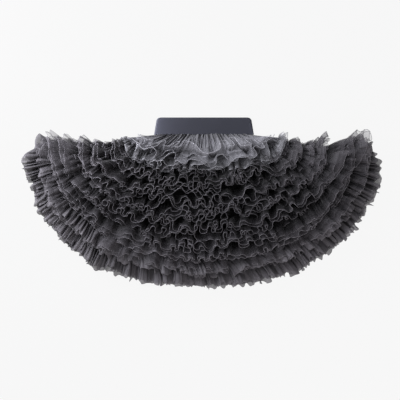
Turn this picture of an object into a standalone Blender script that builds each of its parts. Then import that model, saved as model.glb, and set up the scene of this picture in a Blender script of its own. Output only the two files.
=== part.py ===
"""A tutu skirt laid out flat in a fan: an elastic waistband, a gathered yoke, the skirt panel with its rows
of gathered ruffles, and the crushed back layers that they lie on.

Metres, +Z up. The skirt lies on the plane z = 0, with its hem towards -Y and its waistband towards +Y.
"""

import math

import bmesh
import bpy
import numpy as np

# Waistband, lying flat as two layers
BAND_SEAM_WIDTH = 0.239
BAND_TOP_WIDTH = 0.225
BAND_HEIGHT = 0.042
BAND_CORNER_RADIUS = 0.008
BAND_LAYER = 0.0036
CORNER_SECTIONS = 5

# The fan in plan: how far the cloth reaches from the waistband's lower edge
BAND_SEAM_Y = 0.1645
YOKE_REACH = 0.064
SIDE_HEM_REACH = 0.246
MIDDLE_HEM_REACH = 0.323
HEM_FULLNESS = 0.75
FOLD_ANGLE = math.radians(7.5)
FOLD_ANGLE_RISE = math.radians(5)

# Heights above the surface that the skirt lies on
SEAM_HEIGHT = 0.0038
YOKE_HEIGHT = 0.034
CROWN_RISE = 0.013
HEM_DROP = 0.007
FOLD_HEIGHT = 0.018
FOLD_WIDTH = 0.028

# Cloth
WALL = 0.002
YOKE_WALL = 0.0016
SEAM_GAP = 0.0004

# Gathers of the yoke
YOKE_GATHERS = 28
COLUMNS_PER_GATHER = 4
YOKE_PARTS = (0.0, 0.25, 0.6, 1.0)
YOKE_START = 0.001
SEAM_GATHER_DEPTH = 0.0009
YOKE_GATHER_DEPTH = 0.0038
GATHER_TAPER = 0.13

# One row for each ruffle, from the yoke to the hem: its place from yoke (0) to hem (1), its waves, the height
# of the strip, its lean above the cloth in degrees, the depth of a wave, and how far it goes down over the folds
RUFFLE_COLUMNS = ("place", "waves", "height", "lean", "depth", "wrap")
RUFFLE_ROWS = (
    (0.025, 14, 0.044, 72, 0.0115, 0.25),
    (0.16, 16, 0.048, 76, 0.0125, 0.25),
    (0.30, 18, 0.050, 72, 0.0125, 0.30),
    (0.44, 20, 0.050, 65, 0.0120, 0.45),
    (0.58, 21, 0.050, 55, 0.0120, 0.55),
    (0.72, 22, 0.050, 43, 0.0115, 0.75),
    (0.86, 22, 0.050, 30, 0.0105, 0.90),
    (1.00, 23, 0.050, 11, 0.0100, 1.00),
)
RUFFLE_SEED = 11
COLUMNS_PER_WAVE = 6
RUFFLE_PARTS = (0.0, 0.5, 1.0)
ROOT_DEPTH = 0.0012
SEAT_MARGIN = 0.0003
FOLD_SEAT_MARGIN = 0.0006
LOOP = 0.1
CURL = math.radians(7)
FOLD_LEAN = math.radians(12)
WAVE_WIDTH_SPREAD = 0.22
WAVE_DEPTH_SPREAD = 0.3

# The skirt panel, which has a ring of points under each ruffle between its two edges
PANEL_PLACES = (0.005, *[row[0] for row in RUFFLE_ROWS[1:-1]], 1.01)
PANEL_COLUMNS = 46
FOLD_SHARE = 0.1
FOLD_COLUMNS = 4

# The crushed back, whose layers stick out beyond the panel, from the top one down: reach beyond the panel,
# top height along the side folds and along the hem, and depth of a wave
LAYER_COLUMNS = ("reach", "side_top", "hem_top", "wave")
BACK_LAYERS = (
    (0.012, 0.0130, 0.0200, 0.0020),
    (0.026, 0.0090, 0.0130, 0.0030),
    (0.039, 0.0045, 0.0060, 0.0040),
)
BACK_LAYER_WAVES = 16
COLUMNS_PER_LAYER_WAVE = 6
BACK_EDGE_PLACE = 0.97
EDGE_DROP = 0.0018
CORNER_STEPS = 5
HEM_TOP_SPREAD = 2.0
YOKE_RIM_SPREAD = 0.15
YOKE_RIM_RISE = 0.2
BACK_YOKE_GAP = 0.0012
SIDE_STATIONS = 12
HEM_STATIONS = 60

# How finely a curve is sampled where its length or direction is worked out
FINE_SAMPLES = 900
FINE_STEP = 0.004

# Colours, linear
GREY_TULLE = (0.075, 0.073, 0.082)
GREY_SATIN = (0.052, 0.052, 0.066)
TULLE_ROUGHNESS = 0.8
SATIN_ROUGHNESS = 0.45


def clear_scene():
    for old in list(bpy.data.objects):
        bpy.data.objects.remove(old)


def cloth_material(name, colour, roughness):
    material = bpy.data.materials.new(name)
    material.use_nodes = True
    shader = material.node_tree.nodes["Principled BSDF"]
    shader.inputs["Base Color"].default_value = (*colour, 1)
    shader.inputs["Roughness"].default_value = roughness
    shader.inputs["Metallic"].default_value = 0
    return material


def add_solid(name, points, faces, material):
    """A smooth-shaded object of these points and faces."""
    mesh = bpy.data.meshes.new(name)
    mesh.from_pydata([tuple(point) for point in points], [], faces)
    mesh.materials.append(material)
    mesh.shade_smooth()
    mesh.set_sharp_from_angle(angle=math.radians(40))
    solid = bpy.data.objects.new(name, mesh)
    bpy.context.scene.collection.objects.link(solid)
    return solid


def cloth_wall(name, grid, thickness, material):
    """A cloth wall of this thickness round a grid of middle points, columns by rows."""
    columns, rows = grid.shape[:2]
    faces = []
    for i in range(columns - 1):
        for j in range(rows - 1):
            corner = i * rows + j
            faces.append((corner, corner + 1, corner + rows + 1, corner + rows))
    wall = add_solid(name, grid.reshape(-1, 3), faces, material)
    solidify = wall.modifiers.new("thickness", "SOLIDIFY")
    solidify.thickness = thickness
    solidify.offset = 0
    solidify.use_rim = True
    return wall


def unit(vector):
    return vector / np.linalg.norm(vector)


def fold_angle(place):
    """Angle of the side fold below the waistband's line: least at the yoke and the hem."""
    return FOLD_ANGLE + FOLD_ANGLE_RISE * math.sin(math.pi * min(max(place, 0), 1) ** 0.8)


def hem_reach(angle):
    """How far the panel's hem is from the waistband, at this angle round the fan."""
    return SIDE_HEM_REACH + (MIDDLE_HEM_REACH - SIDE_HEM_REACH) * math.sin(angle) ** HEM_FULLNESS


def plan_point(angle, reach):
    """A point in plan, at an angle round the fan and a reach from the waistband's lower edge."""
    x = -(BAND_SEAM_WIDTH / 2 + reach) * math.cos(angle)
    y = BAND_SEAM_Y - reach * math.sin(angle)
    return x, y


def crown_height(place):
    """Height of the panel on the pile, from the yoke (place 0) to the hem (place 1)."""
    return YOKE_HEIGHT + CROWN_RISE * math.sin(math.pi * min(max(place, 0), 1)) - HEM_DROP * place**4


def skirt_point(share, place):
    """A point on the middle of the skirt panel: share goes from fold to fold, place from yoke to hem.

    Near each fold the panel rounds over, down to the height of the fold.
    """
    typical_reach = YOKE_REACH + (MIDDLE_HEM_REACH - YOKE_REACH) * place
    turn = FOLD_WIDTH / typical_reach
    first = fold_angle(place)
    height = crown_height(place)
    if FOLD_SHARE <= share <= 1 - FOLD_SHARE:
        middle = (share - FOLD_SHARE) / (1 - 2 * FOLD_SHARE)
        angle = first + turn + (math.pi - 2 * first - 2 * turn) * middle
    else:
        bend = min(share, 1 - share) / FOLD_SHARE * math.pi / 2
        angle = first + turn * (1 - math.cos(bend))
        height = FOLD_HEIGHT + (height - FOLD_HEIGHT) * math.sin(bend)
        if share > 0.5:
            angle = math.pi - angle
    reach = YOKE_REACH + (hem_reach(angle) - YOKE_REACH) * place
    return np.array((*plan_point(angle, reach), height))


def skirt_frame(share, place):
    """The panel's point, and its directions along the ring, out to the hem and away from the pile."""
    along = unit(
        skirt_point(min(share + FINE_STEP, 1), place) - skirt_point(max(share - FINE_STEP, 0), place)
    )
    out = skirt_point(share, place + FINE_STEP) - skirt_point(share, place - FINE_STEP)
    out = unit(out - along * np.dot(out, along))
    away = np.cross(out, along)
    return skirt_point(share, place), along, out, away


def ring_shares(place, positions, first_share):
    """Shares at these even positions (0 to 1) along a ring that starts and ends at first_share."""
    shares = np.linspace(first_share, 1 - first_share, FINE_SAMPLES)
    points = np.array([skirt_point(share, place) for share in shares])
    travelled = np.concatenate(([0], np.cumsum(np.linalg.norm(np.diff(points, axis=0), axis=1))))
    return np.interp(np.asarray(positions) * travelled[-1], travelled, shares), travelled[-1]


def panel_shares():
    """Shares of the panel's columns, closer together where it rounds over the folds."""
    rounding = [FOLD_SHARE * step / FOLD_COLUMNS for step in range(FOLD_COLUMNS)]
    middle = np.linspace(FOLD_SHARE, 1 - FOLD_SHARE, PANEL_COLUMNS - 2 * FOLD_COLUMNS)
    return rounding + list(middle) + [1 - share for share in reversed(rounding)]


def yoke_point(share, part):
    """The middle of the yoke, from the waistband (part 0) to the skirt panel (part 1)."""
    end = skirt_point(share, 0)
    seam = np.array((-BAND_SEAM_WIDTH / 2 * (1 - 2 * share), BAND_SEAM_Y - YOKE_START, SEAM_HEIGHT))
    point = seam + (end - seam) * part
    point[2] = SEAM_HEIGHT + (end[2] - SEAM_HEIGHT) * math.sin(math.pi / 2 * part)
    return point


def gather_offset(share, part):
    """How far a gather swings from the yoke's middle: less where the yoke turns over at its sides."""
    depth = SEAM_GATHER_DEPTH + (YOKE_GATHER_DEPTH - SEAM_GATHER_DEPTH) * part
    depth *= part + (1 - part) * min(1, min(share, 1 - share) / GATHER_TAPER) ** 2
    return unit(skirt_frame(share, 0)[3] * part + np.array((0, 0, 1 - part))) * depth


def yoke(material):
    """The front yoke: tight gathers at the waistband that open towards the skirt panel."""
    positions = np.linspace(0, 1, YOKE_GATHERS * COLUMNS_PER_GATHER + 1)
    shares, _ = ring_shares(0, positions, 0)
    grid = np.zeros((len(positions), len(YOKE_PARTS), 3))
    for i, position in enumerate(positions):
        wave = math.sin(2 * math.pi * (position * YOKE_GATHERS + 1 / (2 * COLUMNS_PER_GATHER)))
        for j, part in enumerate(YOKE_PARTS):
            swing = gather_offset(shares[i], part) * wave
            grid[i, j] = yoke_point(shares[i], part) + swing
    return cloth_wall("yoke_front", grid, YOKE_WALL, material)


def skirt_panel(material):
    """The front panel that the ruffles are sewn to, from the yoke to the hem and over both side folds."""
    grid = [[skirt_point(share, place) for place in PANEL_PLACES] for share in panel_shares()]
    return cloth_wall("skirt_front", np.array(grid), WALL, material)


def ruffle(name, spec, rng, material):
    """One gathered strip that stands on the panel: its root follows a ring and its free edge waves."""
    waves = spec["waves"]
    widths = 1 + WAVE_WIDTH_SPREAD * rng.uniform(-1, 1, waves)
    wave_bounds = np.concatenate(([0], np.cumsum(widths))) / widths.sum()
    wave_depths = spec["depth"] * (1 - WAVE_DEPTH_SPREAD * rng.random(waves + 1))
    turns = np.linspace(0, waves, waves * COLUMNS_PER_WAVE + 1)
    positions = np.interp(turns, np.arange(waves + 1), wave_bounds)
    depths = np.interp(turns, np.arange(waves + 1), wave_depths)
    shares, length = ring_shares(spec["place"], positions, FOLD_SHARE * (1 - spec["wrap"]))
    loop = LOOP * length / waves
    lean = math.radians(spec["lean"])
    seat = WALL / 2 + SEAM_GAP + (WALL / 2 + ROOT_DEPTH) * math.cos(lean) + SEAT_MARGIN
    grid = np.zeros((len(turns), len(RUFFLE_PARTS), 3))
    for i, turn in enumerate(turns):
        point, along, out, away = skirt_frame(shares[i], spec["place"])
        wave = math.sin(2 * math.pi * turn)
        sway = -loop * math.sin(4 * math.pi * turn)
        turned_over = max(0, 1 - min(shares[i], 1 - shares[i]) / FOLD_SHARE)
        base = point + away * (seat + FOLD_SEAT_MARGIN * turned_over)
        for j, part in enumerate(RUFFLE_PARTS):
            angle = lean + CURL * 4 * part * (1 - part) + FOLD_LEAN * turned_over
            rise = out * math.cos(angle) + away * math.sin(angle)
            across = away * math.cos(angle) - out * math.sin(angle)
            swing = (ROOT_DEPTH + (depths[i] - ROOT_DEPTH) * part) * wave
            grid[i, j] = base + rise * spec["height"] * part + across * swing + along * sway * part
    return cloth_wall(name, grid, WALL, material)


def back_core():
    """Top points of the crushed back, just under the yoke and the panel, columns by rows."""
    core = []
    for share in panel_shares():
        line = []
        for part in YOKE_PARTS[1:]:
            swing = gather_offset(share, part)
            below = swing + unit(swing) * (YOKE_WALL / 2 + BACK_YOKE_GAP)
            line.append(yoke_point(share, part) - below)
        for place in (*PANEL_PLACES[1:-1], BACK_EDGE_PLACE):
            point, _, _, away = skirt_frame(share, place)
            line.append(point - away * (WALL / 2 + SEAM_GAP))
        core.append(line)
    core = np.array(core)
    core[[0, -1], :, 2] -= EDGE_DROP
    core[1:-1, -1, 2] -= EDGE_DROP
    return core


def plan_normals(line):
    """Outward directions of a line of plan points that goes down the left side or along the hem."""
    tangents = np.gradient(np.array(line), axis=0)
    return [unit(np.array((tangent[1], -tangent[0]))) for tangent in tangents]


def rim_stations():
    """Stations round the panel's outline in plan, fold to fold.

    Each is x, y, outward x, outward y, share of the hem's height, share of the reach, and share of the top.
    """
    parts = np.linspace(YOKE_PARTS[1], 1, len(YOKE_PARTS))
    places = np.linspace(0, 1, SIDE_STATIONS)[1:]
    hem_shares = np.linspace(0, 0.5, HEM_STATIONS)
    side = [yoke_point(0, part)[:2] for part in parts]
    side += [skirt_point(0, place)[:2] for place in places]
    hem = [skirt_point(share, 1)[:2] for share in hem_shares]
    side_normals, hem_normals = plan_normals(side), plan_normals(hem)
    spreads = [YOKE_RIM_SPREAD * part for part in parts]
    spreads += [YOKE_RIM_SPREAD + (1 - YOKE_RIM_SPREAD) * place for place in places]
    rises = [YOKE_RIM_RISE + (1 - YOKE_RIM_RISE) * part for part in parts] + [1] * len(places)
    along_side = zip(side, side_normals, spreads, rises)
    stations = [(*point, *normal, 0, spread, rise) for point, normal, spread, rise in along_side]
    for step in range(1, CORNER_STEPS):
        blend = step / CORNER_STEPS
        normal = unit(side_normals[-1] * (1 - blend) + hem_normals[0] * blend)
        stations.append((*hem[0], *normal, 0, 1, 1))
    for share, point, normal in zip(hem_shares, hem, hem_normals):
        stations.append((*point, *normal, min(1, share / (HEM_TOP_SPREAD * FOLD_SHARE)), 1, 1))
    stations = np.array(stations)
    return np.concatenate((stations, stations[-2::-1] * (-1, 1, -1, 1, 1, 1, 1)))


def rim_travel(stations):
    """How far round the rim each station is, from 0 to 1."""
    offset_path = stations[:, :2] + stations[:, 2:4] * stations[:, 5:6] * BACK_LAYERS[1][0]
    steps = np.linalg.norm(np.diff(offset_path, axis=0), axis=1)
    return np.concatenate(([0], np.cumsum(steps))) / steps.sum()


def rim_rings(stations):
    """Rings round the layered rim: an upper and a lower edge for each layer, down to z = 0."""
    travelled = rim_travel(stations)
    even = np.linspace(0, 1, BACK_LAYER_WAVES * COLUMNS_PER_LAYER_WAVE + 1)
    path = np.column_stack([np.interp(even, travelled, column) for column in stations.T])
    outward = path[:, 2:4] / np.linalg.norm(path[:, 2:4], axis=1)[:, None]
    layers = [dict(zip(LAYER_COLUMNS, layer)) for layer in BACK_LAYERS]
    tops = [layer["side_top"] + (layer["hem_top"] - layer["side_top"]) * path[:, 4] for layer in layers]
    tops = [top * path[:, 6] for top in tops] + [np.zeros(len(even))]
    rings = []
    for number, layer in enumerate(layers):
        wave = layer["wave"] * np.sin(2 * math.pi * (even * BACK_LAYER_WAVES + number / len(layers)))
        edge = path[:, :2] + outward * ((layer["reach"] + wave) * path[:, 5])[:, None]
        rings.append(np.column_stack((edge, tops[number])))
        rings.append(np.column_stack((edge, tops[number + 1])))
    return rings


def matching_ring_points(border, stations, ring_size):
    """For each border point of the core, the point of a ring that it is joined to."""
    half = border[: (len(border) + 1) // 2, :2]
    gaps = np.linalg.norm(half[:, None] - stations[None, :, :2], axis=2)
    close = gaps < gaps.min(axis=1)[:, None] + 1e-9
    travelled = (close * rim_travel(stations)).sum(axis=1) / close.sum(axis=1)
    travelled[0] = 0
    matching = np.rint(np.maximum.accumulate(travelled) * (ring_size - 1)).astype(int)
    mirrored = (ring_size - 1 - matching)[: len(border) // 2]
    return np.concatenate((matching, mirrored[::-1]))


def back_layers(material):
    """The crushed back of the skirt as one rounded solid, whose rim steps down in layers to the floor."""
    core = back_core()
    stations = rim_stations()
    rings = rim_rings(stations)
    columns, rows = core.shape[:2]
    ring_size = len(rings[0])
    floor = core[:, 0] * (1, 1, 0)
    points = np.concatenate([core.reshape(-1, 3), *rings, floor])
    ring_start = [columns * rows + number * ring_size for number in range(len(rings))]
    floor_start = ring_start[-1] + ring_size
    faces = []
    for i in range(columns - 1):
        for j in range(rows - 1):
            faces.append((i * rows + j, i * rows + j + 1, (i + 1) * rows + j + 1, (i + 1) * rows + j))
        faces.append((i * rows, (i + 1) * rows, floor_start + i + 1, floor_start + i))
    border = list(range(rows))
    border += [i * rows + rows - 1 for i in range(1, columns)]
    border += [(columns - 1) * rows + j for j in range(rows - 2, -1, -1)]
    matching = matching_ring_points(points[border], stations, ring_size)
    for i in range(len(border) - 1):
        outer = [ring_start[0] + j for j in range(matching[i + 1], matching[i] - 1, -1)]
        faces.append((border[i], border[i + 1], *outer))
    for start, following in zip(ring_start, ring_start[1:]):
        for j in range(ring_size - 1):
            faces.append((start + j, start + j + 1, following + j + 1, following + j))
    first_ends = list(ring_start)
    last_ends = [start + ring_size - 1 for start in ring_start]
    faces.append((0, *first_ends, floor_start))
    faces.append(((columns - 1) * rows, *last_ends, floor_start + columns - 1))
    underside = [ring_start[-1] + j for j in range(ring_size)]
    faces.append((*underside, *[floor_start + i for i in range(columns - 1, -1, -1)]))
    solid = add_solid("skirt_back_layers", points, faces, material)
    face_outwards(solid.data)
    return solid


def face_outwards(mesh):
    work = bmesh.new()
    work.from_mesh(mesh)
    bmesh.ops.recalc_face_normals(work, faces=work.faces)
    work.to_mesh(mesh)
    work.free()


def band_stations():
    """(y, half width) up the waistband, with its rounded top corners."""
    start = BAND_SEAM_Y + SEAM_GAP
    stations = [(start, BAND_SEAM_WIDTH / 2)]
    for turn in np.linspace(0, math.pi / 2, CORNER_SECTIONS):
        y = start + BAND_HEIGHT - BAND_CORNER_RADIUS * (1 - math.sin(turn))
        stations.append((y, BAND_TOP_WIDTH / 2 - BAND_CORNER_RADIUS * (1 - math.cos(turn))))
    return stations


def band_layer(name, side, material):
    """One layer of the flat waistband: side 1 is the front, on top, and side -1 the back, on the floor."""
    middle = BAND_LAYER + SEAM_GAP / 2
    turns = np.linspace(0, math.pi / 2, CORNER_SECTIONS)
    points = []
    for y, half in band_stations():
        left = [(-half + BAND_LAYER * (1 - math.cos(turn)), BAND_LAYER * math.sin(turn)) for turn in turns]
        flat = [(half * share, BAND_LAYER) for share in (-0.5, 0, 0.5)]
        right = [(-x, level) for x, level in reversed(left)]
        points += [(x, y, middle + side * (SEAM_GAP / 2 + level)) for x, level in left + flat + right]
    sections = len(band_stations())
    count = len(points) // sections
    faces = [tuple(range(count)), tuple(range(len(points) - count, len(points)))]
    for start in range(0, len(points) - count, count):
        for j in range(count):
            following = (j + 1) % count
            faces.append((start + j, start + following, start + count + following, start + count + j))
    layer = add_solid(name, points, faces, material)
    face_outwards(layer.data)
    return layer


def main():
    clear_scene()
    tulle = cloth_material("grey tulle", GREY_TULLE, TULLE_ROUGHNESS)
    satin = cloth_material("grey satin", GREY_SATIN, SATIN_ROUGHNESS)
    band_layer("waistband_front", 1, satin)
    band_layer("waistband_back", -1, satin)
    yoke(tulle)
    skirt_panel(tulle)
    back_layers(tulle)
    rng = np.random.default_rng(RUFFLE_SEED)
    for number, row in enumerate(RUFFLE_ROWS, 1):
        ruffle(f"ruffle_row_{number}", dict(zip(RUFFLE_COLUMNS, row)), rng, tulle)


main()
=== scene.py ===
"""The looks of a tutu skirt laid flat in a fan: a satin waistband, a gathered yoke, and rows of tulle ruffles
that stand on the skirt panel, over the crushed ruffles of its back.

Metres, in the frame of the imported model: +Z up, the hem towards -Y and the waistband towards +Y.
"""

import math

import bpy
import numpy as np
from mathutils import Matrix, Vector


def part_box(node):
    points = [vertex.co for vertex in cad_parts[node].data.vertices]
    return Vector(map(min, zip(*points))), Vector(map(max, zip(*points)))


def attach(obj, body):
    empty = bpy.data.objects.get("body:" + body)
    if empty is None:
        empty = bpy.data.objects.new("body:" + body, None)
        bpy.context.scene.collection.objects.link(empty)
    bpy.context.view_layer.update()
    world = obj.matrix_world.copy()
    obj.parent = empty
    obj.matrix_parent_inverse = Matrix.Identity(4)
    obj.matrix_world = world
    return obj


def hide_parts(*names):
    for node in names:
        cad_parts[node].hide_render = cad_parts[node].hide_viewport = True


# The fan in plan, as the solids have it: how far the cloth reaches from the waistband's lower edge
BAND_SEAM_WIDTH = 0.239
BAND_TOP_WIDTH = 0.225
BAND_SEAM_Y = 0.1645
YOKE_REACH = 0.064
SIDE_HEM_REACH = 0.246
MIDDLE_HEM_REACH = 0.323
HEM_FULLNESS = 0.75
FOLD_ANGLE = math.radians(7.5)
FOLD_ANGLE_RISE = math.radians(5)
FOLD_ANGLE_POWER = 0.8
FOLD_SHARE = 0.1
FOLD_WIDTH = 0.028

# Heights above the floor, as the solids have them
SEAM_HEIGHT = 0.0038
YOKE_HEIGHT = 0.034
CROWN_RISE = 0.013
HEM_DROP = 0.007
FOLD_HEIGHT = 0.018

# How finely a line round the fan is sampled, and the step between the points that give its directions
LINE_SAMPLES = 1400
FRAME_STEP = 0.004

# The waistband's cloth: how far it stands out round the solids and is shifted, its wall, its rounded
# corners and edges, and its columns and rows
BAND_EASE = 0.0015
BAND_SHIFT = 0.002
BAND_WALL = 0.003
BAND_CORNER_RADIUS = 0.008
BAND_ROUNDING = 0.0012
BAND_EDGE_STEPS = np.array((0, 0.1, 0.35, 1))
BAND_COLUMNS = 61
BAND_ROWS = 14
BAND_TURN_STEPS = 9

# Every ruffle's mesh: its columns for each wave, its rows from the root (0) to the free edge (1), how far
# its root is above the cloth that it is sewn to, the small roll along its free edge, and its least height
# above the floor
COLUMNS_PER_WAVE = 24
RUFFLE_PARTS = np.array((0.0, 0.09, 0.22, 0.38, 0.55, 0.72, 0.87, 1.0))
ROOT_LIFT = 0.002
ROLL_RADIUS = 0.0006
ROLL_TURNS = np.radians((90, 210))
FLOOR_GAP = 0.0003
FLOOR_LEVELS = 5

# How much longer the real cloth is than its mesh, for the finer gathers that a mesh doesn't have
GATHER_ALLOWANCE = 1.15

# The meander of a free edge: its least number of waves, the size of a wave in the middle and at the ends of
# a strip and how much it varies, how far the edge turns to each side, and its random turns, with their
# spacing in waves
FEWEST_WAVES = 4
WAVE_SIZES = (1.3, 0.62)
WAVE_SPREAD = 0.5
SWING_RANGE = np.radians((55, 116))
HEADING_NOISE = math.radians(30)
HEADING_SPACING = 0.31
PLY_NOISE = math.radians(9)
PLY_SPACING = 0.23

# How much of the root follows the free edge's run instead of its length, and how open the root is
STRAIGHTNESS = 0.7
ROOT_OPENING = 0.05

# Over what length a strip's drift, lean and height change
DRIFT_SPACING = 0.055
LEAN_SPACING = 0.045
RAGGED_SPACING = 0.04
SPIKE_SPACING = 0.005

# The gap between the plies of a double ruffle, over what length it changes, and by how much
PLY_GAP = 0.0035
GAP_SPACING = 0.02
GAP_CHANGE = 0.8

# Over what length a strip's flop changes, by how much, and the part of the strip that keeps its lean
FLOP_SPACING = 0.06
FLOP_CHANGE = 0.6
FLOP_BALANCE = 0.4

# The fine gathers of a strip: their pitch and depth, and over what length and by how much both change
FINE_PITCH = 0.0070
FINE_DEPTH = 0.0013
FINE_SPACING = 0.012
FINE_CHANGE = 0.5
DEPTH_SPACING = 0.05
DEPTH_CHANGE = 0.9

# The painted shade of a strip: how steeply its root, painted dark for the shade deep between the rows, gets
# lighter towards its free edge, in the middle of the fan and at its sides, and how much darker the whole
# strip is painted where that is steep
MIDDLE_SHADE = 8.0
SIDE_SHADE = 1.4
DEPTH_DIMMING = 0.40

# One row for each double ruffle on the panel: the solid that it stands for, its place from yoke (0) to hem
# (1), the height of the strip, its lean above the panel in the middle and at the sides and how much that
# varies, the pitch of a wave and the room for it, and how far its free edge flops over, all in metres and
# degrees
RUFFLE_COLUMNS = ("node", "place", "height", "lean", "side_lean", "spread", "pitch", "room", "flop")
RUFFLE_ROWS = (
    ("ruffle_row_1", 0.005, 0.040, 58, 40, 14, 0.028, 0.013, 40),
    ("ruffle_row_1", 0.070, 0.046, 72, 42, 14, 0.026, 0.015, 34),
    ("ruffle_row_2", 0.140, 0.050, 84, 44, 20, 0.027, 0.018, 18),
    ("ruffle_row_2", 0.205, 0.048, 87, 42, 22, 0.023, 0.017, 16),
    ("ruffle_row_3", 0.270, 0.051, 85, 42, 22, 0.027, 0.018, 16),
    ("ruffle_row_3", 0.335, 0.048, 83, 40, 24, 0.022, 0.017, 16),
    ("ruffle_row_4", 0.400, 0.051, 81, 40, 24, 0.026, 0.018, 18),
    ("ruffle_row_4", 0.470, 0.049, 78, 38, 24, 0.022, 0.016, 20),
    ("ruffle_row_5", 0.540, 0.051, 74, 38, 24, 0.026, 0.017, 22),
    ("ruffle_row_5", 0.610, 0.050, 66, 36, 24, 0.022, 0.016, 24),
    ("ruffle_row_6", 0.680, 0.051, 58, 34, 20, 0.026, 0.015, 24),
    ("ruffle_row_6", 0.755, 0.049, 50, 32, 18, 0.023, 0.013, 22),
    ("ruffle_row_7", 0.820, 0.048, 42, 28, 16, 0.025, 0.012, 18),
    ("ruffle_row_7", 0.880, 0.042, 30, 22, 18, 0.028, 0.011, 16),
    ("ruffle_row_8", 0.940, 0.055, 15, 14, 13, 0.024, 0.009, 12),
)
ROW_CLOTH = {"drift": 0.008, "ragged": 0.14, "flare": 1.5, "gathers": FINE_PITCH}
ROW_SEED = 5
FLARE_SEED = 500

# What changes in the rows from the panel to the hem: how spiky they are, and the depth of their fine
# gathers at the root and at the free edge
SPIKES = (0.05, 0.14)
ROOT_PLEATS = (1.0, 1.6)
EDGE_PLEATS = (0.35, 0.8)

# How much deeper the fine gathers of a row are at the sides and at the hem
SIDE_CRINKLE = 2.4
HEM_CRINKLE = 1.5

# The second ply of a double ruffle: how much nearer to the hem it is sewn, and how much shorter it is
PLY_STEP = 0.018
PLY_TRIM = 0.07

# Where each change starts and ends: from the middle (0) to the side folds (1), and from yoke (0) to hem (1)
LEAN_SPAN = (0.0, 0.8)
SHADE_SPAN = (0.12, 0.92)
CRINKLE_SPAN = (0.2, 0.825)
TURNED_SPAN = (0.78, 0.98)
BACK_TURNED_SPAN = (0.6, 0.9)
HEM_SPAN = (0.7, 0.95)
HEM_SHADE_SPAN = (0.4, 0.85)

# The side folds, from the yoke (0) to the hem (1): how the ruffles lean there in degrees, and how much of
# their height they have at the left and at the right fold
FOLD_COLUMNS = ("place", "lean", "left_size", "right_size")
FOLD_ROWS = (
    (0.00, 50, 0.14, 0.34),
    (0.15, 48, 0.20, 0.26),
    (0.30, 44, 0.50, 0.36),
    (0.50, 43, 1.50, 1.30),
    (0.75, 39, 1.46, 1.66),
    (0.90, 34, 0.92, 0.95),
    (1.00, 24, 0.36, 0.16),
)

# How much the height of the ruffles varies round the folds and over what length, and the share of a row
# that is under each fold
FOLD_NOISE = 0.24
FOLD_NOISE_SPACING = 0.018
FOLD_WRAP = 0.05

# The ends of a row: over what length they taper, and how far into the taper they start
END_TAPER = 0.02
END_START = 0.4

# Towards the sides: how much shorter every second row is, how much less room the waves have, and how soon
SIDE_TUCK = 0.38
SIDE_TUCK_RISE = 1.3
SIDE_ROOM = 0.5
SIDE_ROOM_POWER = 1.5

# The two lower corners of the fan, where the cloth is longer: their place from the middle (0) to the side
# folds (1) and spread, and how much longer the front's and the back's ruffles are at the left and at the
# right one
CORNER_BELL = (0.42, 0.27)
CORNER_GROWTH = (0.24, 0.18)
BACK_CORNER_GROWTH = (0.34, 0.30)

# The yoke's cloth: its samples, its end, which is a little beyond the panel's first line (1), its length,
# how far its surface is from the solid's, how much it puffs up, and its flatter sides
YOKE_SAMPLES = 1500
YOKE_ROWS = 16
YOKE_END = 1.03
YOKE_LINE = 0.45
YOKE_SEED = 40
YOKE_LIFT = -0.0015
YOKE_PUFF = 0.006
YOKE_TAPER = 0.13

# The yoke's folds, fine, middle and broad: their pitch and sharpness, how much they vary and over what
# length, their depth, and where from the band (0) to the yoke's end (1) they are deepest
YOKE_FOLD_PITCHES = (0.0062, 0.0105, 0.021)
YOKE_FOLD_SHARPNESS = (0.0, 0.6, 0.7)
YOKE_PITCH_CHANGE = 0.9
YOKE_DEPTH_CHANGE = 0.5
YOKE_DEPTH_SPACING = 0.02
YOKE_LEAST_DEPTH = 0.0004
YOKE_FINE_DEPTH = 0.0012
YOKE_FINE_BELL = (0.2, 0.25)
YOKE_MIDDLE_DEPTH = 0.0022
YOKE_MIDDLE_BELL = (0.45, 0.35)
YOKE_BROAD_DEPTH = 0.0048
YOKE_BROAD_RISE = 0.8

# One row for each frill over the yoke: how far down the yoke it is sewn, its length, lean above the yoke
# and flop in degrees, how much the lean varies, the pitch of a scallop, the room for it and the pitch of
# its gathers
FRILL_COLUMNS = ("part", "height", "lean", "flop", "spread", "pitch", "room", "gathers")
FRILL_ROWS = (
    (0.0, 0.110, 9, -22, 6, 0.050, 0.0130, 0.0230),
    (0.0, 0.084, 13, -32, 8, 0.056, 0.0140, 0.0200),
    (0.74, 0.044, 52, -16, 16, 0.044, 0.0150, 0.0090),
    (0.92, 0.044, 118, 24, 16, 0.048, 0.0150, 0.0090),
)
FRILL_CLOTH = {
    "drift": 0.003,
    "ragged": 0.16,
    "spiky": 0.03,
    "flare": 1.0,
    "pleats": 3.0,
    "edge_pleats": 0.1,
}

# Every frill: from where to where across the yoke it goes, its length, the part of the yoke that it takes
# its directions from, how low its ends are and how little room they have, and how steeply the painted
# shade at its root fades
FRILL_SHARES = (0.055, 0.945)
FRILL_LINE = 0.42
FRILL_DIRECTION_PART = 0.6
FRILL_END_HEIGHT = 0.62
FRILL_HEIGHT_SPAN = (0.0, 0.12)
FRILL_END_ROOM = 0.15
FRILL_ROOM_SPAN = (0.0, 0.15)
FRILL_SHADE = 1.15
FRILL_SEED = 61

# The front panel's columns and rows, and its first row
PANEL_COLUMNS = 160
PANEL_ROWS = 30
PANEL_START = 0.004

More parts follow.
